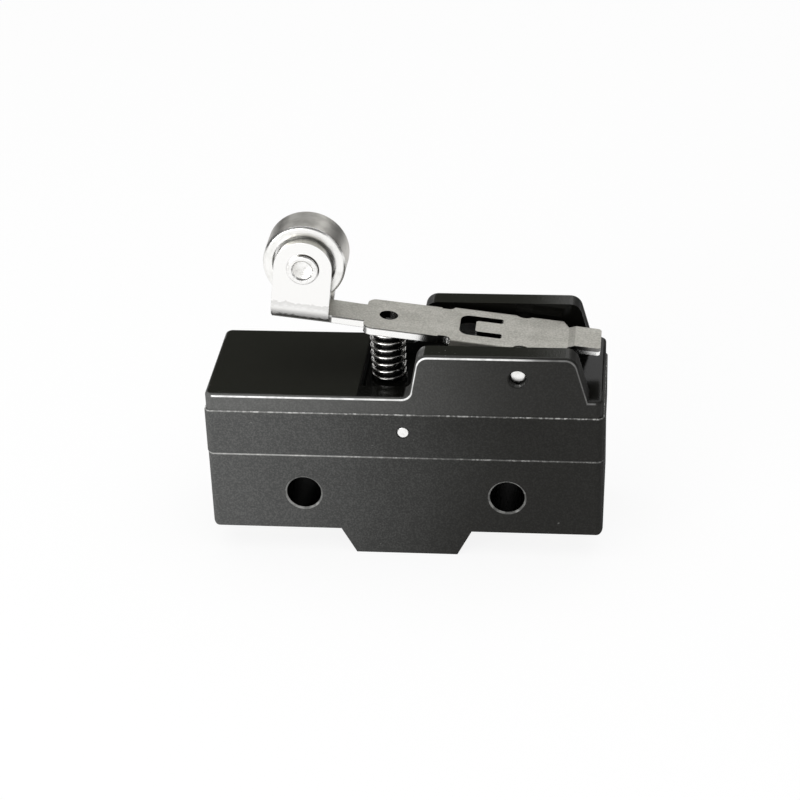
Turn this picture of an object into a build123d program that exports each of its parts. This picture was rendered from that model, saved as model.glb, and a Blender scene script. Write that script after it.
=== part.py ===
from build123d import *
import os
from math import cos, radians, sin, tan

os.makedirs("parts", exist_ok=True)

# Lever micro switch with a short roller lever. All sizes are in millimetres and degrees.
# Origin midway between the two mounting holes, at mid-thickness. +X runs to the hinge end,
# +Y to the back and +Z up to the roller. The switch is drawn released, with the roller up.

# Mounting holes
hole_pitch = 25.4
hole_diameter = 4.3
hole_chamfer = 0.25

# Body: base, case and cover are three mouldings stacked on each other
body_length = 49.2
body_width = 17.45
corner_radius = 0.9
base_underside = -5.1
base_top = 5.45
base_corner = 0.7
base_inset = 0.08
barrier_depth = 3.45
barrier_root = 16.4
barrier_foot = 12.7
case_height = 6.1
cover_plate = 2.25
cover_inset = 0.2
seam_chamfer = 0.16
edge_round = 0.4

# Mechanism chamber inside the three mouldings
side_wall = 2.3
end_wall = 2.4
chamber_floor = 4.2
chamber_corner = 0.8
rim_height = 1.0
rim_wall = 0.9
slip = 0.05

# Cheeks that carry the hinge pin
cheek_height = 5.85
cheek_wall = 2.8
cheek_end_gap = 1.95
cheek_length = 21.85
cheek_left_lean = 11.0
cheek_right_lean = 15.5
cheek_round = 1.6
cheek_left_root = 1.1
cheek_right_root = 0.6

# Well in the deck between the cheeks, round the spring's foot
well_depth = 1.5
well_left_reach = 3.0
well_right_reach = 6.4
well_ledge = 0.1
well_corner = 0.4

# Pins through the case walls that hold the cover's lugs
case_pin_diameter = 1.6
case_pin_height = 9.0
case_pin_recess = 0.1
case_pin_chamfer = 0.15
lug_width = 4.4
lug_wall = 1.4
lug_below_pin = 1.6

# Hinge
hinge_from_cheek_end = 8.57
hinge_z = 16.69
hinge_pin_diameter = 2.2
hinge_pin_recess = 1.1
hinge_pin_round = 0.3
hinge_hole_chamfer = 0.15
hinge_boss_diameter = 3.0
hinge_side_play = 0.08
running = 0.05

# Lever: one folded sheet, measured from the hinge axis along the sheet and square to it
lever_tilt = 6.84
sheet = 1.0
lever_rise = 2.03
tail_end = 9.6
tail_root = 6.4
tail_rise_at = 5.6
tail_lift = 0.33
tail_width = 5.1
tail_corner = 0.5
shoulder_inset = 0.95
shoulder_at = 4.9
channel_back = 4.65
channel_front = -9.5
channel_clearance = 0.775
channel_bend = 1.1
flange_heel_gap = 0.05
flange_toe = 1.2
flange_rise_at = -1.5
relief_length = 0.8
relief_inset = 1.45
relief_diameter = 1.6
relief_depth = 1.6
moon_diameter = 2.4
moon_inset = 0.15
moon_depth = 0.75
pad_end = -19.5
pad_width = 7.5
pad_corner = 1.1
pad_hole_diameter = 2.3
pad_hole_at = -16.65
neck_width = 4.2
neck_rise_at = -20.4
slot_front = -7.8
slot_back = -2.55
slot_width = 5.0
slot_corner = 1.2
slot_end_round = 0.3
tongue_width = 2.7
tongue_front = -5.85
tongue_corner = 0.35

# Roller in the lever's yoke
roller_at = -27.35
roller_height = 8.7
roller_diameter = 10.1
roller_width = 4.6
roller_rim = 1.2
roller_hub_diameter = 5.0
roller_dish = 1.0
roller_chamfer = 0.25
ear_radius = 3.56
yoke_width = 7.2
yoke_bend = 2.4
yoke_lift = 0.1
axle_diameter = 3.0
axle_bore = 2.3
axle_bore_depth = 1.4
axle_flare = 0.2
axle_head_diameter = 3.8
axle_head = 0.42
axle_head_round = 0.18

# Return spring, plunger button and the pin inside it
plunger_from_hinge = 16.48
button_diameter = 3.3
button_round = 0.35
button_crown = 1.0
button_flange_diameter = 4.1
button_flange = 0.9
spring_outer = 4.9
spring_wire = 0.5
spring_turns = 7
touch_gap = 0.04
pin_diameter = 2.0
pin_tip_round = 0.6
pin_top = 13.2
inner_spring_outer = 1.9
inner_spring_wire = 0.28
inner_spring_turns = 8

# Terminals, fixed contacts and terminal screws
strip = 0.9
strip_width = 4.4
terminal_inset = 3.25
foot_length = 7.6
foot_front = 4.2
riser_gap = 0.125
riser_end_gap = 0.7
riser_hole_wall = 0.6
barrier_pocket_length = 9.4
barrier_pocket_width = 11.0
screw_diameter = 4.0
screw_length = 3.1
screw_head_diameter = 6.8
screw_head = 2.0
screw_head_round = 0.5
screw_slot = 0.9
screw_slot_depth = 1.0
screw_hole_play = 0.2
washer_diameter = 7.6
washer = 0.7
washer_teeth = 12
washer_tooth_depth = 0.55
contact_diameter = 3.2
contact_shank_diameter = 1.6
contact_chamfer = 0.12
contact_head = 0.5
nc_contact_head = 0.6
contact_gap = 0.02

# Snap blade, its anchor and its rivet
blade = 0.3
blade_level = 7.1
blade_flip = 1.7
blade_width = 5.6
blade_middle_width = 2.8
blade_leg_width = 1.0
blade_tab_width = 4.4
blade_head_length = 6.0
blade_leg_reach = 12.4
blade_leg_sink = 0.55
blade_leg_bow = 0.85
anchor = 0.8
anchor_post = 1.6
anchor_notch_depth = 0.9
anchor_notch_height = 1.5
anchor_post_rise = 0.5
rivet_diameter = 2.4
rivet_head_diameter = 3.6
rivet_head = 0.6
rivet_play = 0.14

# Levels and faces worked out from the sizes above
half_length = body_length / 2
half_width = body_width / 2
barrier_bottom = base_underside - barrier_depth
case_top = base_top + case_height
deck = case_top + cover_plate
cheek_top = deck + cheek_height
cover_half_length = half_length - cover_inset
cover_half_width = half_width - cover_inset
cheek_inner = cover_half_width - cheek_wall
channel_width = 2 * (cheek_inner - channel_clearance)
shoulder_width = channel_width - 2 * shoulder_inset
relief_width = channel_width - 2 * relief_inset
cheek_right = half_length - cheek_end_gap
cheek_left = cheek_right - cheek_length
hinge_x = cheek_right - hinge_from_cheek_end
plunger_x = hinge_x - plunger_from_hinge
well_floor = deck - well_depth
well_length = well_left_reach + well_right_reach
well_x = plunger_x + (well_right_reach - well_left_reach) / 2
window_length = body_length - 2 * end_wall
window_width = body_width - 2 * side_wall
rim_length = window_length - 2 * slip
rim_width = window_width - 2 * slip
pocket_length = rim_length - 2 * rim_wall
pocket_width = rim_width - 2 * rim_wall
terminal_x = pocket_length / 2 - terminal_inset
riser_inner = (hole_pitch + hole_diameter) / 2 + riser_hole_wall
riser_outer = pocket_length / 2 - riser_end_gap
riser_y = pocket_width / 2 - strip - riser_gap
foot_top = base_underside + strip
screw_head_top = base_underside - washer

tilt = radians(lever_tilt)
along_lever = Vector(cos(tilt), 0, -sin(tilt))
lever_normal = Vector(sin(tilt), 0, cos(tilt))
hinge = Vector(hinge_x, 0, hinge_z)
lever_plane = Plane(origin=hinge, x_dir=along_lever, z_dir=lever_normal)
lever_side = Plane(origin=hinge, x_dir=along_lever, z_dir=(0, -1, 0))
lever_under = lever_rise - sheet
yoke_under = lever_under + yoke_lift
yoke_front = roller_at - ear_radius
yoke_back = roller_at + ear_radius
flange_heel = (hinge_z - channel_back * sin(tilt) - deck - flange_heel_gap) / cos(tilt)
roller_centre = hinge + along_lever * roller_at + lever_normal * roller_height


def across_lever(along):
    """Plane square to the lever's length: its x runs along +Y, its y along the sheet's normal."""
    return Plane(origin=hinge + along_lever * along, x_dir=(0, 1, 0), z_dir=along_lever)


def under_lever(x):
    """Height of the released lever's underside above x."""
    return hinge_z + (lever_under - (x - hinge_x) * sin(tilt)) / cos(tilt)


# Base: lower moulding with the mounting holes, the terminal slots and the middle barrier
screw_places = {"nc": -terminal_x, "no": 0, "com": terminal_x}
riser_spans = {
    "nc": (-riser_outer, -riser_inner),
    "no": (-strip_width / 2, strip_width / 2),
    "com": (riser_inner, riser_outer),
}
with BuildPart() as base:
    with BuildSketch(Plane.XY.offset(barrier_bottom)):
        RectangleRounded(2 * (half_length - base_inset), body_width, corner_radius)
    extrude(amount=base_top - barrier_bottom)
    chamfer(base.edges().group_by(Axis.Z)[-1], seam_chamfer)
    with BuildSketch(Plane.XZ) as base_profile:
        with BuildLine():
            Polyline(
                (-half_length + base_inset, base_top),
                (-half_length + base_inset, base_underside),
                (-barrier_root / 2, base_underside),
                (-barrier_foot / 2, barrier_bottom),
                (barrier_foot / 2, barrier_bottom),
                (barrier_root / 2, base_underside),
                (half_length - base_inset, base_underside),
                (half_length - base_inset, base_top),
                close=True,
            )
        make_face()
        ends = base_profile.vertices().group_by(Axis.X)
        fillet([ends[0].sort_by(Axis.Y)[0], ends[-1].sort_by(Axis.Y)[0]], base_corner)
    extrude(amount=half_width, both=True, mode=Mode.INTERSECT)
    with BuildSketch(Plane.XY.offset(chamber_floor)):
        RectangleRounded(rim_length, rim_width, chamber_corner)
    extrude(amount=base_top + rim_height - chamber_floor)
    with BuildSketch(Plane.XY.offset(chamber_floor)):
        RectangleRounded(pocket_length, pocket_width, chamber_corner)
    extrude(amount=base_top + rim_height - chamber_floor, mode=Mode.SUBTRACT)
    with BuildSketch(Plane.XZ):
        with GridLocations(hole_pitch, 1, 2, 1):
            Circle(hole_diameter / 2)
    extrude(amount=half_width, both=True, mode=Mode.SUBTRACT)
    hole_rims = base.edges().filter_by(GeomType.CIRCLE).filter_by(
        lambda e: abs(e.radius - hole_diameter / 2) < 0.001
    )
    chamfer(hole_rims, hole_chamfer)
    with BuildSketch(Plane.XY.offset(barrier_bottom)):
        RectangleRounded(barrier_pocket_length, barrier_pocket_width, chamber_corner)
    extrude(amount=foot_top - barrier_bottom, mode=Mode.SUBTRACT)
    for name, screw_x in screw_places.items():
        riser_from, riser_to = riser_spans[name]
        with BuildSketch(Plane.XY.offset(base_underside)):
            with Locations((screw_x, (riser_y + strip - foot_front) / 2)):
                Rectangle(foot_length + 2 * slip, riser_y + strip + foot_front + 2 * slip)
        extrude(amount=strip, mode=Mode.SUBTRACT)
        with BuildSketch(Plane.XY.offset(foot_top)):
            with Locations((screw_x, 0)):
                Circle(screw_diameter / 2 + screw_hole_play)
        extrude(amount=screw_length - washer - strip + screw_hole_play, mode=Mode.SUBTRACT)
        with BuildSketch(Plane.XY.offset(foot_top)):
            with Locations(((riser_from + riser_to) / 2, riser_y + strip / 2)):
                Rectangle(riser_to - riser_from + 2 * slip, strip + 2 * slip)
        extrude(amount=chamber_floor - foot_top, mode=Mode.SUBTRACT)

# Case: middle frame round the mechanism, with a hole in each side for its pin
with BuildPart() as case:
    with BuildSketch(Plane.XY.offset(base_top)):
        RectangleRounded(body_length, body_width, corner_radius)
    extrude(amount=case_height)
    chamfer(case.edges().group_by(Axis.Z)[0] + case.edges().group_by(Axis.Z)[-1], seam_chamfer)
    with BuildSketch(Plane.XY.offset(base_top)):
        RectangleRounded(window_length, window_width, chamber_corner)
    extrude(amount=case_height, mode=Mode.SUBTRACT)
    with BuildSketch(Plane.XZ):
        with Locations((0, case_pin_height)):
            Circle(case_pin_diameter / 2)
    extrude(amount=half_width, both=True, mode=Mode.SUBTRACT)

# Cover: top moulding with the deck, its well, two cheeks, the button's guide and the pinned lugs
with BuildPart() as cover:
    with BuildSketch(Plane.XY.offset(case_top)):
        RectangleRounded(2 * cover_half_length, 2 * cover_half_width, corner_radius)
    extrude(amount=cover_plate)
    with BuildSketch(Plane.XZ.offset(cheek_inner)) as cheek_profile:
        with BuildLine():
            Polyline(
                (cheek_left - 2 * cheek_left_root, case_top),
                (cheek_left - 2 * cheek_left_root, deck),
                (cheek_left, deck),
                (cheek_left + cheek_height * tan(radians(cheek_left_lean)), cheek_top),
                (cheek_right - cheek_height * tan(radians(cheek_right_lean)), cheek_top),
                (cheek_right, deck),
                (cheek_right + cheek_right_root, deck),
                (cheek_right + cheek_right_root, case_top),
                close=True,
            )
        make_face()
        fillet(cheek_profile.vertices().group_by(Axis.Y)[-1], cheek_round)
        roots = cheek_profile.vertices().filter_by_position(Axis.Y, deck - slip, deck + slip)
        fillet(roots.sort_by(Axis.X)[1], cheek_left_root)
        fillet(roots.sort_by(Axis.X)[-2], cheek_right_root)
    extrude(amount=cheek_wall)
    mirror(about=Plane.XZ)
    outline = cover.edges().filter_by(
        lambda e: e.center().Z > deck - slip
        and (
            abs(e.center().Y) > cover_half_width - slip
            or abs(e.center().X) > cover_half_length - corner_radius
        )
    )
    fillet(outline, edge_round)
    with BuildSketch(Plane.XY.offset(deck)):
        with Locations((well_x, 0)):
            RectangleRounded(well_length, 2 * (cheek_inner - well_ledge), well_corner)
    extrude(amount=-well_depth, mode=Mode.SUBTRACT)
    with BuildSketch(Plane.XY.offset(case_top)):
        RectangleRounded(rim_length, rim_width, chamber_corner)
        RectangleRounded(pocket_length, pocket_width, chamber_corner, mode=Mode.SUBTRACT)
    extrude(amount=-rim_height)
    with BuildSketch(Plane.XY.offset(case_top)):
        with GridLocations(1, rim_width - lug_wall, 1, 2):
            Rectangle(lug_width, lug_wall)
    extrude(amount=case_pin_height - lug_below_pin - case_top)
    with BuildSketch(Plane.XZ):
        with Locations((0, case_pin_height)):
            Circle(case_pin_diameter / 2)
    extrude(amount=half_width, both=True, mode=Mode.SUBTRACT)
    boss_length = cheek_inner - channel_width / 2 - hinge_side_play
    for side in (-1, 1):
        with BuildSketch(Plane.XZ.offset(side * cheek_inner)):
            with Locations((hinge_x, hinge_z)):
                Circle(hinge_boss_diameter / 2)
        extrude(amount=-side * boss_length)
    with BuildSketch(Plane.XZ):
        with Locations((hinge_x, hinge_z)):
            Circle(hinge_pin_diameter / 2)
    extrude(amount=half_width, both=True, mode=Mode.SUBTRACT)
    hinge_rims = cover.edges().filter_by(GeomType.CIRCLE).filter_by(
        lambda e: abs(e.radius - hinge_pin_diameter / 2) < 0.001
        and abs(e.center().Y) > cover_half_width - slip
    )
    chamfer(hinge_rims, hinge_hole_chamfer)
    with BuildSketch(Plane.XY.offset(case_top)):
        with Locations((plunger_x, 0)):
            Circle(button_diameter / 2 + running)
    extrude(amount=cover_plate, mode=Mode.SUBTRACT)

# Case pins: short bright pins, one in each side
case_pins = {}
for name, side in {"case_pin_front": 1, "case_pin_back": -1}.items():
    with BuildPart() as case_pin:
        with BuildSketch(Plane.XZ.offset(side * (half_width - case_pin_recess))):
            with Locations((0, case_pin_height)):
                Circle(case_pin_diameter / 2)
        extrude(amount=-side * (side_wall + slip + lug_wall - case_pin_recess))
        chamfer(case_pin.edges().filter_by(GeomType.CIRCLE), case_pin_chamfer)
    case_pins[name] = case_pin

# Hinge pin: held in both cheeks, its rounded ends sunk below their faces
with BuildPart() as hinge_pin:
    with BuildSketch(Plane.XZ):
        with Locations((hinge_x, hinge_z)):
            Circle(hinge_pin_diameter / 2)
    extrude(amount=cover_half_width - hinge_pin_recess, both=True)
    fillet(hinge_pin.edges().filter_by(GeomType.CIRCLE), hinge_pin_round)

# Lever: tail, flanged channel, pad, neck and yoke folded from one sheet
with BuildPart() as lever:
    with BuildSketch(lever_plane.offset(lever_under)) as tail_blank:
        with Locations(((shoulder_at + tail_end) / 2, 0)):
            Rectangle(tail_end - shoulder_at, tail_width)
        fillet(tail_blank.vertices().group_by(Axis.X)[-1], tail_corner)
    extrude(amount=sheet + tail_lift)
    with BuildSketch(lever_side):
        with BuildLine():
            Polyline(
                (tail_rise_at, lever_under),
                (tail_root, lever_under + tail_lift),
                (tail_end, lever_under + tail_lift),
                (tail_end, lever_under),
                close=True,
            )
        make_face()
        with BuildLine():
            Polyline(
                (shoulder_at, lever_rise),
                (tail_rise_at, lever_rise),
                (tail_root, lever_rise + tail_lift),
                (shoulder_at, lever_rise + tail_lift),
                close=True,
            )
        make_face()
    extrude(amount=tail_width, both=True, mode=Mode.SUBTRACT)
    with BuildSketch(lever_plane.offset(lever_under)) as blank:
        with BuildLine():
            Polyline(
                (tail_rise_at, 0),
                (tail_rise_at, tail_width / 2),
                (shoulder_at, shoulder_width / 2),
                (0, shoulder_width / 2),
                (0, channel_width / 2 - channel_bend),
                (channel_front, channel_width / 2 - channel_bend),
                (channel_front, relief_width / 2),
                (channel_front - relief_length, relief_width / 2),
                (channel_front - relief_length, pad_width / 2),
                (pad_end, pad_width / 2),
                (pad_end, 0),
            )
            mirror(about=Plane.XZ)
        make_face()
        fillet(blank.vertices().group_by(Axis.X)[0], pad_corner)
    extrude(amount=sheet)
    with BuildSketch(across_lever(channel_front)):
        with BuildLine():
            FilletPolyline(
                (-channel_width / 2, -flange_heel),
                (-channel_width / 2, lever_rise),
                (channel_width / 2, lever_rise),
                (channel_width / 2, -flange_heel),
                radius=channel_bend,
            )
            offset(amount=-sheet, side=Side.RIGHT)
        make_face()
    extrude(amount=channel_back - channel_front)
    with BuildSketch(lever_side):
        with BuildLine():
            Polyline(
                (flange_rise_at, -flange_heel),
                (channel_front, -flange_toe),
                (channel_front, -flange_heel),
                close=True,
            )
        make_face()
    extrude(amount=channel_width, both=True, mode=Mode.SUBTRACT)
    with BuildSketch(lever_side):
        with BuildLine():
            Polyline(
                (neck_rise_at, lever_under),
                (yoke_back, yoke_under),
                (yoke_front, yoke_under),
                (yoke_front, yoke_under + sheet),
                (yoke_back, yoke_under + sheet),
                (neck_rise_at, lever_rise),
                (pad_end + pad_corner, lever_rise),
                (pad_end + pad_corner, lever_under),
                close=True,
            )
        make_face()
    extrude(amount=neck_width / 2, both=True)
    with BuildSketch(across_lever(yoke_front)):
        with BuildLine():
            FilletPolyline(
                (-yoke_width / 2, roller_height + ear_radius),
                (-yoke_width / 2, yoke_under),
                (yoke_width / 2, yoke_under),
                (yoke_width / 2, roller_height + ear_radius),
                radius=yoke_bend,
            )
            offset(amount=-sheet, side=Side.LEFT)
        make_face()
    extrude(amount=2 * ear_radius)
    with BuildSketch(lever_side):
        with Locations((roller_at, roller_height)):
            Rectangle(2 * ear_radius, ear_radius, align=(Align.CENTER, Align.MIN))
            Circle(ear_radius, mode=Mode.SUBTRACT)
    extrude(amount=yoke_width, both=True, mode=Mode.SUBTRACT)
    with BuildSketch(lever_side):
        with Locations((roller_at, roller_height)):
            Circle(axle_diameter / 2)
        Circle(hinge_pin_diameter / 2 + running)
    extrude(amount=channel_width, both=True, mode=Mode.SUBTRACT)
    with BuildSketch(lever_plane.offset(lever_under)) as openings:
        with Locations(((slot_front + slot_back) / 2, 0)):
            Rectangle(slot_back - slot_front, slot_width)
        fillet(openings.vertices().group_by(Axis.X)[0], slot_corner)
        with Locations(((tongue_front + slot_back) / 2, 0)):
            Rectangle(slot_back - tongue_front, tongue_width, mode=Mode.SUBTRACT)
        fillet(openings.vertices().group_by(Axis.X)[-1], slot_end_round)
        tongue_tip = openings.vertices().filter_by_position(
            Axis.X, tongue_front - slip, tongue_front + slip
        )
        fillet(tongue_tip, tongue_corner)
        with Locations((pad_hole_at, 0)):
            Circle(pad_hole_diameter / 2)
    extrude(amount=sheet, mode=Mode.SUBTRACT)
    with BuildSketch(lever_plane.offset(lever_rise)):
        with Locations((channel_back / 2, 0)):
            Rectangle(channel_back, 2 * channel_width)
            Rectangle(channel_back, shoulder_width, mode=Mode.SUBTRACT)
        with GridLocations(1, channel_width - 2 * moon_inset, 1, 2):
            Circle(moon_diameter / 2)
    extrude(amount=-moon_depth, mode=Mode.SUBTRACT)
    with BuildSketch(lever_plane.offset(lever_rise)):
        with Locations((channel_front, 0)):
            with GridLocations(1, relief_width + relief_diameter, 1, 2):
                Circle(relief_diameter / 2)
    extrude(amount=-relief_depth, mode=Mode.SUBTRACT)

# Roller: turned wheel with a raised rim and hub on each face
with BuildPart() as roller:
    with BuildSketch(Plane(origin=roller_centre, x_dir=(1, 0, 0), z_dir=(0, -1, 0))):
        Circle(roller_diameter / 2)
    extrude(amount=roller_width / 2, both=True)
    chamfer(roller.edges().filter_by(GeomType.CIRCLE), roller_chamfer)
    for side in (-1, 1):
        face = Vector(0, side * roller_width / 2, 0)
        with BuildSketch(Plane(origin=roller_centre + face, x_dir=(1, 0, 0), z_dir=(0, side, 0))):
            Circle(roller_diameter / 2 - roller_rim)
            Circle(roller_hub_diameter / 2, mode=Mode.SUBTRACT)
        extrude(amount=-roller_dish, mode=Mode.SUBTRACT)
    with BuildSketch(Plane(origin=roller_centre, x_dir=(1, 0, 0), z_dir=(0, -1, 0))):
        Circle(axle_diameter / 2 + running)
    extrude(amount=roller_width, both=True, mode=Mode.SUBTRACT)

# Roller axle: hollow rivet with a rolled head on each ear of the yoke
with BuildPart() as roller_axle:
    with BuildSketch(Plane(origin=roller_centre, x_dir=(0, 1, 0), z_dir=(-1, 0, 0))) as axle_half:
        with BuildLine():
            outer = yoke_width / 2 + axle_head
            Polyline(
                (0, 0),
                (outer - axle_bore_depth, 0),
                (outer - axle_bore_depth, axle_bore / 2),
                (outer - axle_flare, axle_bore / 2),
                (outer, axle_bore / 2 + axle_flare),
                (outer, axle_head_diameter / 2),
                (yoke_width / 2, axle_head_diameter / 2),
                (yoke_width / 2, axle_diameter / 2),
                (0, axle_diameter / 2),
                close=True,
            )
        make_face()
        rolled = axle_half.vertices().group_by(Axis.Y)[-1].sort_by(Axis.X)[-1]
        fillet(rolled, axle_head_round)
        mirror(about=Plane.YZ)
    revolve(axis=Axis(roller_centre, (0, 1, 0)))

# Return spring: open coil round the button, from the floor of the well to the lever's pad
spring_radius = (spring_outer - spring_wire) / 2
spring_low = well_floor + spring_wire / 2
spring_high = under_lever(plunger_x + spring_outer / 2) - touch_gap - spring_wire / 2
with BuildPart() as return_spring:
    with BuildLine() as coil:
        Helix(
            pitch=(spring_high - spring_low) / spring_turns,
            height=spring_high - spring_low,
            radius=spring_radius,
            center=(plunger_x, 0, spring_low),
        )
    with BuildSketch(Plane(origin=coil.line @ 0, z_dir=coil.line % 0)):
        Circle(spring_wire / 2)
    sweep(path=coil.line, is_frenet=True)

# Plunger button: hollow, guided in the cover and kept by its flange
button_top = under_lever(plunger_x + button_diameter / 2 - button_round) - touch_gap
button_bottom = case_top - touch_gap - button_flange
button_ceiling = button_top - button_crown
with BuildPart() as plunger_button:
    with BuildSketch(Plane.XY.offset(button_bottom)):
        with Locations((plunger_x, 0)):
            Circle(button_flange_diameter / 2)
    extrude(amount=button_flange)
    with BuildSketch(Plane.XY.offset(button_bottom)):
        with Locations((plunger_x, 0)):
            Circle(button_diameter / 2)
    extrude(amount=button_top - button_bottom)
    fillet(plunger_button.edges().group_by(Axis.Z)[-1], button_round)
    with BuildSketch(Plane.XY.offset(button_bottom)):
        with Locations((plunger_x, 0)):
            Circle(pin_diameter / 2 + running)
    extrude(amount=button_ceiling - button_bottom, mode=Mode.SUBTRACT)

# Actuating pin: slides in the button and rests on the blade
with BuildPart() as actuating_pin:
    with BuildSketch(Plane.XY.offset(blade_level + blade + touch_gap)):
        with Locations((plunger_x, 0)):
            Circle(pin_diameter / 2)
    extrude(amount=pin_top - blade_level - blade - touch_gap)
    fillet(actuating_pin.edges().group_by(Axis.Z)[0], pin_tip_round)

# Overtravel spring: small coil between the pin and the button's crown
inner_low = pin_top + touch_gap + inner_spring_wire / 2
inner_high = button_ceiling - touch_gap - inner_spring_wire / 2
with BuildPart() as overtravel_spring:
    with BuildLine() as inner_coil:
        Helix(
            pitch=(inner_high - inner_low) / inner_spring_turns,
            height=inner_high - inner_low,
            radius=(inner_spring_outer - inner_spring_wire) / 2,
            center=(plunger_x, 0, inner_low),
        )
    with BuildSketch(Plane(origin=inner_coil.line @ 0, z_dir=inner_coil.line % 0)):
        Circle(inner_spring_wire / 2)
    sweep(path=inner_coil.line, is_frenet=True)

# Snap blade: flat middle strip with two bowed legs, cut from one spring sheet
blade_pivot = terminal_x - strip_width / 2
blade_tab_end = terminal_x + strip_width / 2
blade_head_end = -terminal_x - blade_head_length / 2
blade_head_root = -terminal_x + blade_head_length / 2
blade_leg_end = blade_pivot - blade_leg_reach
leg_level = blade_level - blade_leg_sink
leg_middle = (blade_head_root + blade_leg_end) / 2
with BuildPart() as snap_blade:
    with BuildSketch(Plane.XY.offset(blade_level)):
        with Locations(((blade_head_end + blade_head_root) / 2, 0)):
            Rectangle(blade_head_length, blade_width)
        with Locations(((blade_head_root + blade_tab_end) / 2, 0)):
            Rectangle(blade_tab_end - blade_head_root, blade_middle_width)
        with Locations((terminal_x, 0)):
            Rectangle(strip_width, blade_tab_width)
        with Locations((terminal_x, 0)):
            Circle(rivet_diameter / 2 + rivet_play, mode=Mode.SUBTRACT)
        with Locations((-terminal_x, 0)):
            Circle(contact_shank_diameter / 2, mode=Mode.SUBTRACT)
    extrude(amount=blade)
    for side in (-1, 1):
        with BuildSketch(Plane.XZ.offset(side * (blade_width - blade_leg_width) / 2)):
            with BuildLine():
                ThreePointArc(
                    (blade_head_root, blade_level),
                    (leg_middle, blade_level + blade_leg_bow),
                    (blade_leg_end, leg_level),
                )
                offset(amount=blade, side=Side.LEFT)
            make_face()
        extrude(amount=blade_leg_width / 2, both=True)

# Moving contact: double-faced rivet at the end of the blade
with BuildPart() as moving_contact:
    with BuildSketch(Plane.XY.offset(blade_level)):
        with Locations((-terminal_x, 0)):
            Circle(contact_shank_diameter / 2)
    extrude(amount=blade)
    for level, height in ((blade_level, -contact_head), (blade_level + blade, contact_head)):
        with BuildSketch(Plane.XY.offset(level)):
            with Locations((-terminal_x, 0)):
                Circle(contact_diameter / 2)
        extrude(amount=height)
    chamfer(moving_contact.edges().group_by(Axis.Z)[0], contact_chamfer)
    chamfer(moving_contact.edges().group_by(Axis.Z)[-1], contact_chamfer)

# Fixed contacts: the upper one touches at rest, the lower one after the blade has flipped
nc_face = blade_level + blade + contact_head + contact_gap
nc_under = nc_face + nc_contact_head
flip_reach = blade_pivot + terminal_x + contact_diameter / 2
no_face = blade_level - contact_head - flip_reach * sin(radians(blade_flip)) - contact_gap
no_top = chamber_floor + strip
fixed_contacts = {}
for name, face, seat, side in (
    ("nc_contact", nc_face, nc_under, 1),
    ("no_contact", no_face, no_top, -1),
):
    with BuildPart() as fixed_contact:
        with BuildSketch(Plane.XY.offset(face)):
            with Locations((-terminal_x, 0)):
                Circle(contact_diameter / 2)
        extrude(amount=seat - face)
        chamfer(fixed_contact.edges().group_by(Axis.Z)[-1 if side < 0 else 0], contact_chamfer)
        with BuildSketch(Plane.XY.offset(seat)):
            with Locations((-terminal_x, 0)):
                Circle(contact_shank_diameter / 2)
        extrude(amount=side * strip)
    fixed_contacts[name] = fixed_contact

# Terminals: bent strips with a tapped foot under the base and an arm in the chamber
arm_levels = {"nc": nc_under, "no": chamber_floor, "com": blade_level - strip}
arm_spans = {
    "nc": (-riser_outer, -terminal_x + strip_width / 2),
    "no": (-terminal_x - strip_width / 2, strip_width / 2),
    "com": (terminal_x - strip_width / 2, riser_outer),
}
terminals = {}
for name, screw_x in screw_places.items():
    arm = arm_levels[name]
    arm_from, arm_to = arm_spans[name]
    riser_from, riser_to = riser_spans[name]
    riser_x = (riser_from + riser_to) / 2
    with BuildPart() as terminal:
        with BuildSketch(Plane.XY.offset(base_underside)):
            with Locations((screw_x, (riser_y + strip - foot_front) / 2)):
                Rectangle(foot_length, riser_y + strip + foot_front)
            with Locations((screw_x, 0)):
                Circle(screw_diameter / 2, mode=Mode.SUBTRACT)
        extrude(amount=strip)
        with BuildSketch(Plane.XY.offset(base_underside)):
            with Locations((riser_x, riser_y + strip / 2)):
                Rectangle(riser_to - riser_from, strip)
        extrude(amount=arm + strip - base_underside)
        with BuildSketch(Plane.XY.offset(arm)):
            arm_x = terminal_x if name == "com" else -terminal_x
            with Locations((riser_x, (riser_y + strip) / 2)):
                Rectangle(riser_to - riser_from, riser_y + strip)
            with Locations(((arm_from + arm_to) / 2, 0)):
                Rectangle(arm_to - arm_from, strip_width)
            hole = rivet_diameter if name == "com" else contact_shank_diameter
            with Locations((arm_x, 0)):
                Circle(hole / 2, mode=Mode.SUBTRACT)
        extrude(amount=strip)
    terminals[name] = terminal

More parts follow.
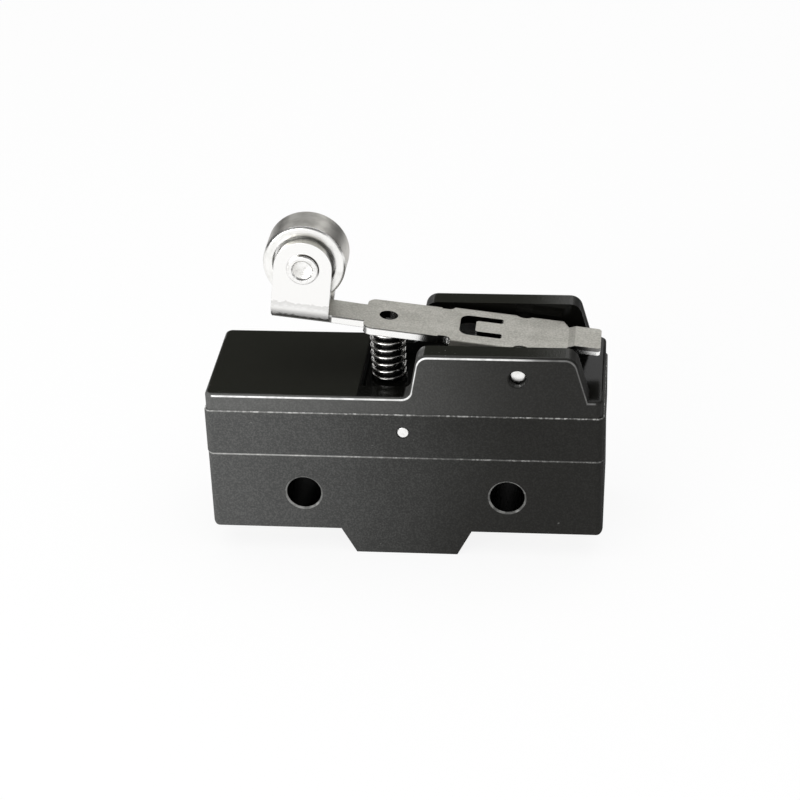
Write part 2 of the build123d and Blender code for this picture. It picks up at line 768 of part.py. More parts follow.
# Blade anchor: plate under the common terminal, with two notched posts for the bowed legs
anchor_top = blade_level - strip
post_face = blade_leg_end - anchor_notch_depth / 3
leg_drop = (blade_pivot - blade_leg_end) * sin(radians(blade_flip))
notch_level = leg_level + blade / 2 - leg_drop / 2
post_inner = blade_width / 2 - blade_leg_width
with BuildPart() as blade_anchor:
    with BuildSketch(Plane.XY.offset(anchor_top)):
        with Locations(((post_face + blade_tab_end) / 2, 0)):
            Rectangle(blade_tab_end - post_face, blade_tab_width)
        with Locations((post_face + anchor_post / 2, 0)):
            Rectangle(anchor_post, blade_width)
        with Locations((terminal_x, 0)):
            Circle(rivet_diameter / 2, mode=Mode.SUBTRACT)
    extrude(amount=-anchor)
    for side in (-1, 1):
        with BuildSketch(Plane.XZ.offset(side * (blade_width - blade_leg_width) / 2)):
            with BuildLine():
                Polyline(
                    (post_face, anchor_top - anchor),
                    (post_face, notch_level - anchor_notch_height / 2),
                    (post_face + anchor_notch_depth, notch_level),
                    (post_face, notch_level + anchor_notch_height / 2),
                    (post_face, notch_level + anchor_notch_height / 2 + anchor_post_rise),
                    (post_face + anchor_post, notch_level + anchor_notch_height / 2 + anchor_post_rise),
                    (post_face + anchor_post, anchor_top - anchor),
                    close=True,
                )
            make_face()
        extrude(amount=blade_leg_width / 2, both=True)

# Blade rivet: clamps blade, common terminal and anchor together
with BuildPart() as blade_rivet:
    rivet_low = anchor_top - anchor
    rivet_high = blade_level + blade + rivet_play
    with BuildSketch(Plane.XY.offset(rivet_low)):
        with Locations((terminal_x, 0)):
            Circle(rivet_diameter / 2)
    extrude(amount=rivet_high - rivet_low)
    for level, height in ((rivet_low, -rivet_head), (rivet_high, rivet_head)):
        with BuildSketch(Plane.XY.offset(level)):
            with Locations((terminal_x, 0)):
                Circle(rivet_head_diameter / 2)
        extrude(amount=height)

# Terminal screws, each with a toothed washer under its slotted head
screws = {}
washers = {}
for name, screw_x in screw_places.items():
    with BuildPart() as washer_ring:
        with BuildSketch(Plane.XY.offset(base_underside)):
            with Locations((screw_x, 0)):
                Circle(washer_diameter / 2)
                Circle(screw_diameter / 2 + screw_hole_play, mode=Mode.SUBTRACT)
                with PolarLocations(washer_diameter / 2, washer_teeth):
                    Rectangle(2 * washer_tooth_depth, washer_tooth_depth, mode=Mode.SUBTRACT)
        extrude(amount=-washer)
    washers[name] = washer_ring
    with BuildPart() as screw:
        with BuildSketch(Plane.XY.offset(screw_head_top)):
            with Locations((screw_x, 0)):
                Circle(screw_head_diameter / 2)
        extrude(amount=-screw_head)
        fillet(screw.edges().group_by(Axis.Z)[0], screw_head_round)
        with BuildSketch(Plane.XY.offset(screw_head_top - screw_head)):
            with Locations((screw_x, 0)):
                Rectangle(screw_head_diameter, screw_slot)
        extrude(amount=screw_slot_depth, mode=Mode.SUBTRACT)
        with BuildSketch(Plane.XY.offset(screw_head_top)):
            with Locations((screw_x, 0)):
                Circle(screw_diameter / 2)
        extrude(amount=screw_length)
    screws[name] = screw

# Every piece gets its name and its file
pieces = {
    "base": base,
    "case": case,
    "cover": cover,
    **case_pins,
    "hinge_pin": hinge_pin,
    "lever": lever,
    "roller": roller,
    "roller_axle": roller_axle,
    "return_spring": return_spring,
    "plunger_button": plunger_button,
    "actuating_pin": actuating_pin,
    "overtravel_spring": overtravel_spring,
    "snap_blade": snap_blade,
    "moving_contact": moving_contact,
    **fixed_contacts,
    "blade_anchor": blade_anchor,
    "blade_rivet": blade_rivet,
}
for name in screw_places:
    pieces[f"{name}_terminal"] = terminals[name]
    pieces[f"{name}_screw"] = screws[name]
    pieces[f"{name}_washer"] = washers[name]
for name, piece in pieces.items():
    piece.part.label = name
    export_step(piece.part, f"parts/{name}.step")
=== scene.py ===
from math import cos, pi, radians, sin, tan

import bmesh
import bpy
from mathutils import Matrix, Vector


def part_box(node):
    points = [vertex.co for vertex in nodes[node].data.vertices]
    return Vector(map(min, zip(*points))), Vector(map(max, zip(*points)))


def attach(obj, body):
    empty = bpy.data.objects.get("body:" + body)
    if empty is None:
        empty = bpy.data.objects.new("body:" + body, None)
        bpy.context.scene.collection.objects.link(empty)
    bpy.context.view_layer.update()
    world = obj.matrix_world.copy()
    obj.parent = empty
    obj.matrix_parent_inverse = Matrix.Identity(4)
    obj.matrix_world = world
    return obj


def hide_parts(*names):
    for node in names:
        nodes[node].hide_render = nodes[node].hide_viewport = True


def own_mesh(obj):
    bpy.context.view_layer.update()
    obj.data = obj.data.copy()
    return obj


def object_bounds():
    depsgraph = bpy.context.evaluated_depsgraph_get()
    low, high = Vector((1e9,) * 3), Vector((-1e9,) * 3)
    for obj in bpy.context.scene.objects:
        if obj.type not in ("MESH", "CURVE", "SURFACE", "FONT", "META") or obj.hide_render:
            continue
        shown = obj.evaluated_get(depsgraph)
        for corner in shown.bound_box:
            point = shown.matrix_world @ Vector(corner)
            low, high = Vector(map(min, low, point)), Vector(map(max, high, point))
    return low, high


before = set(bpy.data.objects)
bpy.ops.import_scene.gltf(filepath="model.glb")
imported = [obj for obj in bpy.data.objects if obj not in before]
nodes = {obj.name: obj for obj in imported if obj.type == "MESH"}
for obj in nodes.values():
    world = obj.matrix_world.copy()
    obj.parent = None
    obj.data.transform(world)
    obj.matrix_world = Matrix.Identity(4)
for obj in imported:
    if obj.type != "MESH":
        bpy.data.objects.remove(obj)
cad_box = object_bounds()
mm = 0.001

# Base and case: the lower moulding, with the mounting holes and the barrier between the
# terminals, and the ring above it that closes the contact chamber. Black thermoset with mineral
# filler, satin and finely speckled, made paler towards its left end by painted light, with a
# broken pale line along each joint that is partly flash and partly painted highlight.


class Wire:
    """One output of a shader node. Arithmetic written on it adds Math nodes beside it."""

    def __init__(self, socket):
        self.socket = socket

    def node(self, kind, settings, sockets, output=0):
        """Adds any other node: its settings first, then the value or wire of each socket."""
        made = self.socket.id_data.nodes.new(kind)
        for name, setting in settings.items():
            setattr(made, name, setting)
        for name, value in sockets.items():
            if isinstance(value, Wire):
                made.id_data.links.new(value.socket, made.inputs[name])
            else:
                made.inputs[name].default_value = value
        return Wire(made.outputs[output])

    def maths(self, operation, first, second):
        """One Math node on two values."""
        return self.node("ShaderNodeMath", {"operation": operation}, {0: first, 1: second})

    def __add__(self, other):
        return self.maths("ADD", self, other)

    def __radd__(self, other):
        return self.maths("ADD", other, self)

    def __sub__(self, other):
        return self.maths("SUBTRACT", self, other)

    def __rsub__(self, other):
        return self.maths("SUBTRACT", other, self)

    def __mul__(self, other):
        return self.maths("MULTIPLY", self, other)

    def __rmul__(self, other):
        return self.maths("MULTIPLY", other, self)

    def __truediv__(self, other):
        return self.maths("DIVIDE", self, other)

    def __rtruediv__(self, other):
        return self.maths("DIVIDE", other, self)

    def __pow__(self, other):
        return self.maths("POWER", self, other)

    def __rpow__(self, other):
        return self.maths("POWER", other, self)

    def __abs__(self):
        return self.maths("ABSOLUTE", self, 0)

    def larger(self, other):
        """The larger of two values."""
        return self.maths("MAXIMUM", self, other)

    def step(self, low, high):
        """0 below low, 1 above high, and a soft change between."""
        settings = {"interpolation_type": "SMOOTHSTEP"}
        sockets = {"Value": self, "From Min": low, "From Max": high}
        return self.node("ShaderNodeMapRange", settings, sockets)

    def axis(self, name):
        """One coordinate of a vector."""
        return self.node("ShaderNodeSeparateXYZ", {}, {"Vector": self}, name)

    def vector(self, operation, other, output="Vector"):
        """Vector maths with a point or a direction."""
        return self.node("ShaderNodeVectorMath", {"operation": operation}, {0: self, 1: other}, output)

    def stretch(self, x, y, z):
        """A place with each coordinate made longer or shorter, which draws a pattern out."""
        return self.vector("MULTIPLY", (x, y, z))

    def from_axle(self, centre):
        """A place's distance from the axle that runs along Y through a point."""
        return self.stretch(1, 0, 1).vector("DISTANCE", (centre.x, 0, centre.z), "Value")

    def noise(self, size, detail=2.0):
        """Smooth noise whose blotches are about this many metres across."""
        sockets = {"Vector": self, "Scale": 1 / size, "Detail": detail}
        return self.node("ShaderNodeTexNoise", {}, sockets)

    def blend(self, below, above):
        """A colour between two, each a colour or a wire, by this wire's value from 0 to 1."""
        first, second = (c if isinstance(c, Wire) else (*c, 1) for c in (below, above))
        # The Mix node keeps its colours A and B in sockets 6 and 7, and their mix in output 2
        return self.node("ShaderNodeMix", {"data_type": "RGBA"}, {0: self, 6: first, 7: second}, 2)

    def bump(self, depth, edge_round=0.0):
        """Surface relief of this many metres, with sharp edges shaded as if they were rounded."""
        sockets = {"Height": self, "Distance": depth}
        if edge_round:
            sockets["Normal"] = self.node("ShaderNodeBevel", {"samples": 4}, {"Radius": edge_round})
        return self.node("ShaderNodeBump", {}, sockets)


def finish(name, constants):
    """A new material: its shader with the constants set, and the places and normals on its piece."""
    material = bpy.data.materials.new(name)
    material.use_nodes = True
    tree = material.node_tree
    shader = tree.nodes["Principled BSDF"]
    for socket, value in constants.items():
        shader.inputs[socket].default_value = value
    coordinates = tree.nodes.new("ShaderNodeTexCoord")
    return material, shader, Wire(coordinates.outputs["Object"]), Wire(coordinates.outputs["Normal"])


def feed(shader, wires):
    """Links what changes over the surface to the shader."""
    for socket, wire in wires.items():
        shader.id_data.links.new(wire.socket, shader.inputs[socket])


def dress(material, names):
    """Gives CAD nodes their material."""
    for name in names:
        mesh = nodes[name].data
        mesh.materials.clear()
        mesh.materials.append(material)


plastic = (0.0085, 0.0083, 0.0072)
plastic_painted_light = (0.060, 0.061, 0.060)
filler = (0.24, 0.24, 0.23)
flash_and_highlight = (0.66, 0.66, 0.64)
grain = 0.20 * mm
grain_depth = 0.010 * mm
painted_light_reach = 24.0 * mm
painted_light_drift = 10.0 * mm
seam_core = 0.06 * mm
seam_half = 0.17 * mm
seam_fade_from = -18.0 * mm
seam_fade_to = 6.0 * mm


def moulded(name, seams, constants):
    """Satin plastic with speckle and scuffs, made paler towards its left end by painted light.

    Each seam has a height, how solid its pale line is, and how much of it is gone at the right.
    """
    material, shader, place, normal = finish(name, constants)
    # Painted light: the plastic is coloured lighter towards its left end, over a wavy border, as if
    # more light fell there, and its speckle shows more there too
    drift = (place.noise(12.0 * mm, 3.0) - 0.5) * painted_light_drift
    tone_mix = ((drift - place.axis("X")) / (2 * painted_light_reach) + 0.5).step(0.18, 1.05)
    speckle = place.noise(grain).step(0.36, 0.74)
    scuff = place.stretch(0.5, 1, 1.4).noise(1.1 * mm, 4.0).step(0.71, 0.74)
    scuff = scuff * place.noise(0.4 * mm).step(0.5, 0.7)
    colour = tone_mix.blend(plastic, plastic_painted_light)
    colour = (speckle * (0.03 + 0.17 * tone_mix)).blend(colour, filler)
    colour = (scuff * 0.55).blend(colour, filler)
    end_face = abs(normal.axis("X")).step(0.8, 0.95)
    rough = 0.48 + 0.12 * place.noise(1.2 * mm, 3.0) - 0.12 * scuff + 0.3 * end_face

    # A pale line, partly flash and partly painted highlight, on the small upward-facing chamfers at
    # the seams, in chips and patches that thin out to the right
    upward = normal.axis("Z")
    on_chamfer = upward.step(0.3, 0.5) * (1 - upward.step(0.85, 0.95))
    to_right = place.axis("X").step(seam_fade_from, seam_fade_to)
    chips = place.stretch(1, 1, 0.1).noise(0.35 * mm, 6.0).step(0.42, 0.66)
    patches = place.stretch(1, 1, 0.1).noise(2.5 * mm).step(0.35, 0.60)
    left_on = 0.14 + 0.86 * chips * (0.40 + 0.60 * patches)
    seam_flash_and_highlight = 0
    for height, solid, fade in seams:
        line = 1 - abs(place.axis("Z") - height).step(seam_core, seam_half)
        whole = solid * (1 - 0.7 * to_right)
        seam_flash_and_highlight = seam_flash_and_highlight + line * (whole + (1 - whole) * left_on) * (1 - fade * to_right)
    seam_flash_and_highlight = seam_flash_and_highlight * on_chamfer

    relief = place.noise(grain) * 0.6 + place.noise(0.7 * mm) * 0.4
    wires = {
        "Base Color": seam_flash_and_highlight.blend(colour, flash_and_highlight),
        "Roughness": rough,
        "Coat Weight": seam_flash_and_highlight,
        "Normal": (relief * (1 - end_face)).bump(grain_depth),
    }
    return material, shader, place, normal, wires


case_low, case_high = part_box("case")
base_seam = (case_low.z, 0.55, 0.5)
cover_seam = (case_high.z, 0.15, 0.35)
body_plastic = {"Specular IOR Level": 0.14, "Coat Roughness": 0.2, "Coat IOR": 1.6}
body_finish, shader, place, _, wires = moulded("body_plastic", (base_seam, cover_seam), body_plastic)

# The mounting holes are painted black inside as shade, and their edges carry a broken painted
# highlight
hole_at = 12.7 * mm
hole_radius = 2.15 * mm
hole_rim = 2.40 * mm
hole_painted_shade = (0.001, 0.001, 0.001)
from_hole = abs(place.axis("X")) - hole_at
from_axis = (from_hole * from_hole + place.axis("Z") * place.axis("Z")) ** 0.5
hole_shade = 1 - from_axis.step(hole_radius, hole_radius + 0.03 * mm)
rim = (1 - hole_shade) * (1 - from_axis.step(hole_rim - 0.04 * mm, hole_rim))
rim = rim * (0.35 + 0.65 * place.noise(0.9 * mm, 3.0).step(0.4, 0.6))
wires["Base Color"] = hole_shade.blend((rim * 0.35).blend(wires["Base Color"], flash_and_highlight), hole_painted_shade)
wires["Metallic"] = hole_shade
feed(shader, wires)
dress(body_finish, ("base", "case"))

# Terminals: three bent strips with a tapped foot under the base and an arm in the chamber.
# Stamped from half-hard brass sheet, bright where it was rolled and browner where it has aged.

brass = (0.71, 0.49, 0.20)
brass_aged = (0.46, 0.29, 0.11)
terminal_finish, shader, place, _ = finish("terminal_brass", {"Metallic": 1.0})
aged = place.noise(2.8 * mm, 5.0).step(0.42, 0.72)
rolled = place.stretch(1, 0.08, 1).noise(0.12 * mm)
feed(shader, {
    "Base Color": aged.blend(brass, brass_aged),
    "Roughness": 0.24 + 0.16 * aged + 0.08 * rolled,
    "Normal": rolled.bump(0.004 * mm),
})
dress(terminal_finish, ("nc_terminal", "no_terminal", "com_terminal"))

# Terminal screws and washers: slotted pan heads that clamp a wire under a toothed washer.
# Cold-headed steel with a bright zinc plate, clouded a little and scratched by the driver.

zinc = (0.72, 0.73, 0.74)
zinc_cloud = (0.50, 0.51, 0.53)
screw_finish, shader, place, _ = finish("screw_steel", {"Metallic": 1.0})
cloud = place.noise(1.6 * mm, 4.0).step(0.35, 0.7)
driver_mark = place.stretch(0.1, 1, 1).noise(0.18 * mm, 3.0).step(0.55, 0.75)
feed(shader, {
    "Base Color": cloud.blend(zinc, zinc_cloud),
    "Roughness": 0.26 + 0.18 * cloud + 0.1 * driver_mark,
    "Normal": (driver_mark * 0.5 + cloud * 0.5).bump(0.006 * mm),
})
for pole in ("nc", "no", "com"):
    dress(screw_finish, (f"{pole}_screw", f"{pole}_washer"))

# Snap blade, its anchor and its rivet: the spring that flips between the two contacts.
# Rolled beryllium copper sheet, reddish and smooth, with fine lines along its length.

copper = (0.66, 0.40, 0.24)
copper_dull = (0.47, 0.27, 0.16)
blade_finish, shader, place, _ = finish("blade_metal", {"Metallic": 1.0})
drawn = place.stretch(0.04, 1, 1).noise(0.1 * mm, 3.0)
feed(shader, {
    "Base Color": place.noise(2.0 * mm, 4.0).step(0.4, 0.7).blend(copper, copper_dull),
    "Roughness": 0.22 + 0.16 * drawn,
    "Normal": drawn.bump(0.003 * mm),
})
dress(blade_finish, ("snap_blade", "blade_anchor", "blade_rivet"))

# Contacts: one through the blade's end and one on each fixed strip.
# Silver alloy buttons, headed and pressed in, matt with a grey bloom.

silver = (0.86, 0.85, 0.82)
silver_bloom = (0.55, 0.54, 0.52)
contact_finish, shader, place, _ = finish("contact_metal", {"Metallic": 1.0})
tone_mix = place.noise(0.7 * mm, 5.0).step(0.35, 0.7)
feed(shader, {
    "Base Color": tone_mix.blend(silver, silver_bloom),
    "Roughness": 0.28 + 0.2 * tone_mix,
    "Normal": tone_mix.bump(0.005 * mm),
})
dress(contact_finish, ("moving_contact", "nc_contact", "no_contact"))

# Case pins, hinge pin and roller rivet: cut from bright drawn wire, pressed or rolled in place.
# Nickel-plated steel, a little uneven in its polish, with small dents from the press.

nickel = (0.95, 0.945, 0.93)
nickel_shade = (0.80, 0.79, 0.77)
pin_finish, shader, place, _ = finish("pin_steel", {"Metallic": 1.0})
dents = place.noise(0.45 * mm, 3.0)
feed(shader, {
    "Base Color": dents.step(0.45, 0.75).blend(nickel, nickel_shade),
    "Roughness": 0.20 + 0.16 * place.noise(0.12 * mm),
    "Normal": dents.bump(0.006 * mm, 0.06 * mm),
})
dress(pin_finish, ("case_pin_front", "case_pin_back", "hinge_pin", "roller_axle"))

# Cover: the top moulding, with the deck, the two cheeks and the guide of the button.
# The same black thermoset, but its deck and the insides of the cheeks came from a polished
# core, so they are mirror black; what lies under the lever between the cheeks is painted darker
# as shade, and its rounded outer edges carry a painted highlight.

deck = 13.8 * mm
open_deck_end = -5.7 * mm
well_floor = 12.3 * mm
cheek_inner = 5.725 * mm
cheek_crest = 18.9 * mm
end_corner = 23.4 * mm
end_inner = 24.2 * mm
highlight_fade_from = 12.0 * mm
highlight_fade_to = 18.5 * mm
pale_from = -12.0 * mm
pale_to = 21.0 * mm
deck_black = (0.0165, 0.0168, 0.0135)
painted_shade_black = (0.003, 0.003, 0.0025)
edge_painted_highlight = (0.74, 0.74, 0.73)
cover_plastic = {**body_plastic, "Specular IOR Level": 0.20}
cover_finish, shader, place, normal, wires = moulded("cover_plastic", (cover_seam,), cover_plastic)
upward = normal.axis("Z")
sideways = abs(normal.axis("Y"))
endways = abs(place.axis("X"))

# What the polished core made: the deck, and all that lies between the cheeks
between = 1 - abs(place.axis("Y")).step(cheek_inner + 0.02 * mm, cheek_inner + 0.10 * mm)
between = between * place.axis("Z").step(well_floor - 0.10 * mm, well_floor - 0.05 * mm)
between = between * (1 - endways.step(end_inner, end_inner + 0.05 * mm))
polished = upward.step(0.90, 0.98).larger(between)
below_deck = 1 - place.axis("Z").step(deck - 0.10 * mm, deck - 0.05 * mm)
well_wall = between * below_deck * (1 - upward.step(0.5, 0.9))
on_deck = 1 - place.axis("X").step(open_deck_end, open_deck_end + 0.2 * mm)
on_crest = place.axis("Z").step(cheek_crest, cheek_crest + 0.1 * mm) * upward.step(0.5, 0.9)
dust = place.noise(0.30 * mm, 1.0).step(0.77, 0.80) * place.noise(3.0 * mm).step(0.5, 0.6)
# Painted shade: the polished surfaces right of the open deck, under and around the lever, are coloured
# a darker black, all but the upward-facing crests of the cheeks
polished_and_shaded_colour = on_deck.larger(on_crest).blend(painted_shade_black, deck_black)
polished_and_shaded_colour = (dust * 0.5).blend(polished_and_shaded_colour, filler)

# Painted highlight on the rounded edges along the front and the back, which also get a clear coat,
# fading towards the hinge end
edge_highlight = sideways.step(0.77, 0.90) * (1 - sideways.step(0.993, 0.9995)) * (1 - between)
edge_highlight = edge_highlight * upward.step(0.02, 0.08) * (1 - endways.step(end_corner, end_corner + 0.2 * mm))
edge_highlight = edge_highlight * (0.7 + 0.3 * place.noise(1.3 * mm, 3.0).step(0.35, 0.6))
edge_highlight = edge_highlight * (1 - 0.85 * place.axis("X").step(highlight_fade_from, highlight_fade_to))

# Painted light: the moulded sides are coloured paler towards the left end
pale = 0.14 * (1 - place.axis("X").step(pale_from, pale_to))
cover_colour = polished.blend(pale.blend(wires["Base Color"], filler), polished_and_shaded_colour)
smoothed = wires["Roughness"] * (1 - 0.80 * polished) * (1 - 0.5 * edge_highlight)
wires["Base Color"] = edge_highlight.blend(cover_colour, edge_painted_highlight)
wires["Roughness"] = smoothed + 0.02 + 0.8 * well_wall
wires["Coat Weight"] = wires["Coat Weight"] + edge_highlight
feed(shader, wires)
dress(cover_finish, ("cover",))

# Button and actuating pin: the plunger that the lever pushes, with a coil and a pin inside it.
# Glossy black moulding, a little worn on its crown where the lever slides over it.

button_black = (0.003, 0.003, 0.003)
button_worn = (0.009, 0.009, 0.0085)
button_finish, shader, place, _ = finish("button_plastic", {"Specular IOR Level": 0.2})
rubbed = place.stretch(0.3, 1, 1).noise(0.3 * mm, 3.0).step(0.45, 0.7)
feed(shader, {
    "Base Color": rubbed.blend(button_black, button_worn),
    "Roughness": 0.22 + 0.2 * rubbed,
    "Normal": rubbed.bump(0.005 * mm),
})
dress(button_finish, ("plunger_button", "actuating_pin"))

# Lever: one sheet folded into tail, channel, pad, neck and yoke.
# Cold-rolled stainless steel: the sheet is matt and sandy, and the sheared edges are bright.
# Its marks are placed along the sheet and square to it, from the hinge.

lever_tilt = radians(6.84)
sheet_up = (sin(lever_tilt), 0, cos(lever_tilt))
sheet_along = (cos(lever_tilt), 0, -sin(lever_tilt))
hinge_along = 11.992 * mm
hinge_up = 18.248 * mm
sheet_top = hinge_up + 2.03 * mm
yoke_at = hinge_along - 23.4 * mm
yoke_under = hinge_up + 1.13 * mm
rub_top = hinge_up + 3.95 * mm
channel_at = hinge_along - 9.5 * mm
flange_side = 3.9 * mm
waist_at = hinge_along - 12.1 * mm
pad_hole_at = hinge_along - 16.65 * mm
pad_hole_radius = 1.15 * mm
slot_from = hinge_along - 7.8 * mm
slot_to = hinge_along - 2.55 * mm
slot_half = 2.5 * mm
tongue_tip = hinge_along - 5.85 * mm
rivet_head = 1.90 * mm
steel = (0.57, 0.56, 0.515)
steel_shade = (0.38, 0.37, 0.335)
steel_cut_and_highlight = (0.96, 0.955, 0.94)
steel_rub = (0.74, 0.735, 0.72)
steel_grime_and_shade = (0.035, 0.032, 0.027)
steel_bend_shade = (0.085, 0.08, 0.07)
lever_finish, shader, place, normal = finish("lever_steel", {"Metallic": 1.0})
facing = normal.vector("DOT_PRODUCT", sheet_up, "Value")
heading = normal.vector("DOT_PRODUCT", sheet_along, "Value")
height = place.vector("DOT_PRODUCT", sheet_up, "Value")
along = place.vector("DOT_PRODUCT", sheet_along, "Value")
aside = abs(place.axis("Y"))
on_yoke = 1 - along.step(yoke_at - 0.2 * mm, yoke_at)
on_flange = along.step(channel_at, channel_at + 0.1 * mm)
on_flange = on_flange * aside.step(flange_side, flange_side + 0.2 * mm)
on_flange = on_flange * (1 - abs(heading).step(0.2, 0.45))
yoke_bend = on_yoke * (0 - facing).step(0.0, 0.2)
# Faces that face up or down with the sheet, and the channel's flanges, take the sheet's colour; the
# rest take the near-white cut colour: the sheared edges, and also the yoke's ears and the outside of
# its bend, where it is a painted highlight
rolled = (abs(facing).step(0.55, 0.9) + on_flange).step(0.0, 1.0) * (1 - yoke_bend)

# Sandy rolled surface, with pits, and painted shade on the bends along the flanges
sand = place.noise(0.22 * mm, 3.0)
stain = place.noise(2.4 * mm, 5.0)
pit = place.noise(0.30 * mm, 1.0).step(0.75, 0.79) * place.noise(4.0 * mm).step(0.5, 0.6)
sheet_colour = (stain * 0.35 + sand * 0.65).step(0.32, 0.68).blend(steel, steel_shade)
sheet_colour = (pit * 0.7).blend(sheet_colour, steel_grime_and_shade)
bend_shade = on_flange * (1 - abs(facing).step(0.86, 0.995))
sheet_colour = (bend_shade * 0.9).blend(sheet_colour, steel_bend_shade)

# Bright cut edges, and the same near-white painted as a highlight on the yoke's ears and bend, with a
# rubbed band on the yoke
ragged = height + (place.noise(0.7 * mm, 4.0) - 0.5) * (1.2 * mm)
rubbed = on_yoke * (1 - ragged.step(rub_top, rub_top + 0.15 * mm))
rub_line = rubbed * ragged.step(rub_top - 0.8 * mm, rub_top - 0.2 * mm)
square_face_colour = (rubbed * 0.15).blend(steel_cut_and_highlight, steel_rub)
square_face_colour = (rub_line * 0.8).blend(square_face_colour, steel_rub)

# Painted shade in dark lines: on the die-roll along the top edge, under the yoke, on its cut
# sides, at the waist, in the pad's hole but for a lit crescent of its wall, in the slot all but the
# tongue's tip, and round the rivet's head, darkest to its upper right
die_roll_shade = (1 - on_yoke) * height.step(sheet_top - 0.20 * mm, sheet_top - 0.13 * mm) * 0.85
low_line = on_yoke * (1 - ragged.step(yoke_under + 0.6 * mm, yoke_under + 1.2 * mm)) * 0.9
cut_side = on_yoke * heading.step(0.6, 0.9) * 0.8
waist = along.step(waist_at, waist_at + 0.7 * mm)
waist = waist * (1 - along.step(channel_at - 0.15 * mm, channel_at)) * 0.9
off_hole = abs(along - pad_hole_at).larger(aside)
bare_wall = (along - pad_hole_at + place.axis("Y")).step(1.05 * pad_hole_radius, 1.2 * pad_hole_radius)
in_hole = (1 - off_hole.step(pad_hole_radius, 1.1 * pad_hole_radius)) * (1 - bare_wall)
tip_face = (0 - heading).step(0.3, 0.6) * along.step(tongue_tip - 0.2 * mm, tongue_tip - 0.1 * mm)
in_slot = along.step(slot_from - 0.1 * mm, slot_from) * (1 - along.step(slot_to, slot_to + 0.1 * mm))
in_slot = in_slot * (1 - aside.step(slot_half, slot_half + 0.1 * mm)) * (1 - tip_face)
axle_low, axle_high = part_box("roller_axle")
axle_centre = (axle_low + axle_high) / 2
up_right = place.axis("X") + place.axis("Z") - (axle_centre.x + axle_centre.z)
rivet_line = 1 - abs(place.from_axle(axle_centre) - rivet_head).step(0.08 * mm, 0.20 * mm)
rivet_line = on_yoke * rivet_line * (0.2 + 0.8 * up_right.step(0.3 * mm, 1.8 * mm))
for dark in (die_roll_shade, low_line, cut_side, waist, in_hole, in_slot, rivet_line):
    square_face_colour = dark.blend(square_face_colour, steel_grime_and_shade)

sheet_rough = 0.40 + 0.14 * sand + 0.08 * stain
cut_rough = 0.24 + 0.36 * yoke_bend
feed(shader, {
    "Base Color": rolled.blend(square_face_colour, sheet_colour),
    "Roughness": rolled * sheet_rough + (1 - rolled) * cut_rough,
    "Normal": ((sand * 0.8 + stain * 0.3 - pit) * rolled).bump(0.014 * mm, 0.10 * mm),
})
dress(lever_finish, ("lever",))

# Roller: a turned wheel with a raised rim and hub, free on its rivet.
# Free-cutting steel, plated: the faces show rings from the tool and the tread fine lines round it.

tread_from = 4.5 * mm
rings_per_metre = 9 / mm
lines_per_metre = 7 / mm
face_bright = (0.96, 0.955, 0.935)
face_dull = (0.84, 0.835, 0.81)
tread_bright = (0.58, 0.565, 0.53)
tread_dull = (0.41, 0.40, 0.37)
one_way = {"noise_dimensions": "1D"}
roller_low, roller_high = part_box("roller")
roller_finish, shader, place, normal = finish("roller_steel", {"Metallic": 1.0})
radius = place.from_axle((roller_low + roller_high) / 2)
upright_wall = (1 - abs(normal.axis("Y"))).step(0.5, 0.8)
tread = upright_wall * radius.step(tread_from, tread_from + 0.1 * mm)
ring_sockets = {"W": radius, "Scale": rings_per_metre, "Detail": 2.0}
line_sockets = {"W": place.axis("Y"), "Scale": lines_per_metre, "Detail": 3.0}
rings = radius.node("ShaderNodeTexNoise", one_way, ring_sockets)
lines = place.node("ShaderNodeTexNoise", one_way, line_sockets)
turned = tread * lines + (1 - tread) * rings
rub = place.noise(1.6 * mm, 4.0).step(0.4, 0.75)
face_colour = (turned * 0.5 + rub * 0.5).step(0.2, 0.8).blend(face_bright, face_dull)
tread_colour = (turned * 0.6 + rub * 0.4).step(0.2, 0.8).blend(tread_bright, tread_dull)
feed(shader, {
    "Base Color": tread.blend(face_colour, tread_colour),
    "Roughness": 0.20 + 0.14 * tread + 0.10 * turned + 0.3 * (upright_wall - tread),
    "Normal": turned.bump(0.005 * mm, 0.22 * mm),
})
dress(roller_finish, ("roller",))

# Return spring: eight turns of round wire, open but for the ends, from the floor of the well to
# the lever's pad. Hard-drawn spring steel, polished by the drawing die. Its top leans with the
# lever.

drawn_bright = (0.72, 0.71, 0.69)
drawn_dull = (0.52, 0.51, 0.49)
spring_finish, shader, place, _ = finish("spring_steel", {"Metallic": 1.0})
drawn = place.stretch(1, 1, 6).noise(0.2 * mm, 3.0)
feed(shader, {
    "Base Color": drawn.step(0.3, 0.7).blend(drawn_bright, drawn_dull),
    "Roughness": 0.10 + 0.10 * drawn,
    "Normal": drawn.bump(0.003 * mm),
})

spring_low, spring_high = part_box("return_spring")
outer_wire = 0.46 * mm
outer_turns = 8.0
outer_across = 4.55 * mm
outer_radius = (outer_across - outer_wire) / 2
dead_turn = 0.75
flat_rise = 0.35
wire_sides = 14
steps_per_turn = 48
short_turn = 0.001
coil_x = (spring_low.x + spring_high.x) / 2


def coil_share(turn, turns):
    """How far up its spring a turn has climbed: the two end turns lie nearly flat."""
    climbed = flat_rise * min(turn, dead_turn)
    climbed += max(0, min(turn, turns - dead_turn) - dead_turn)
    climbed += flat_rise * max(0, turn - turns + dead_turn)
    return climbed / (turns - 2 * dead_turn * (1 - flat_rise))


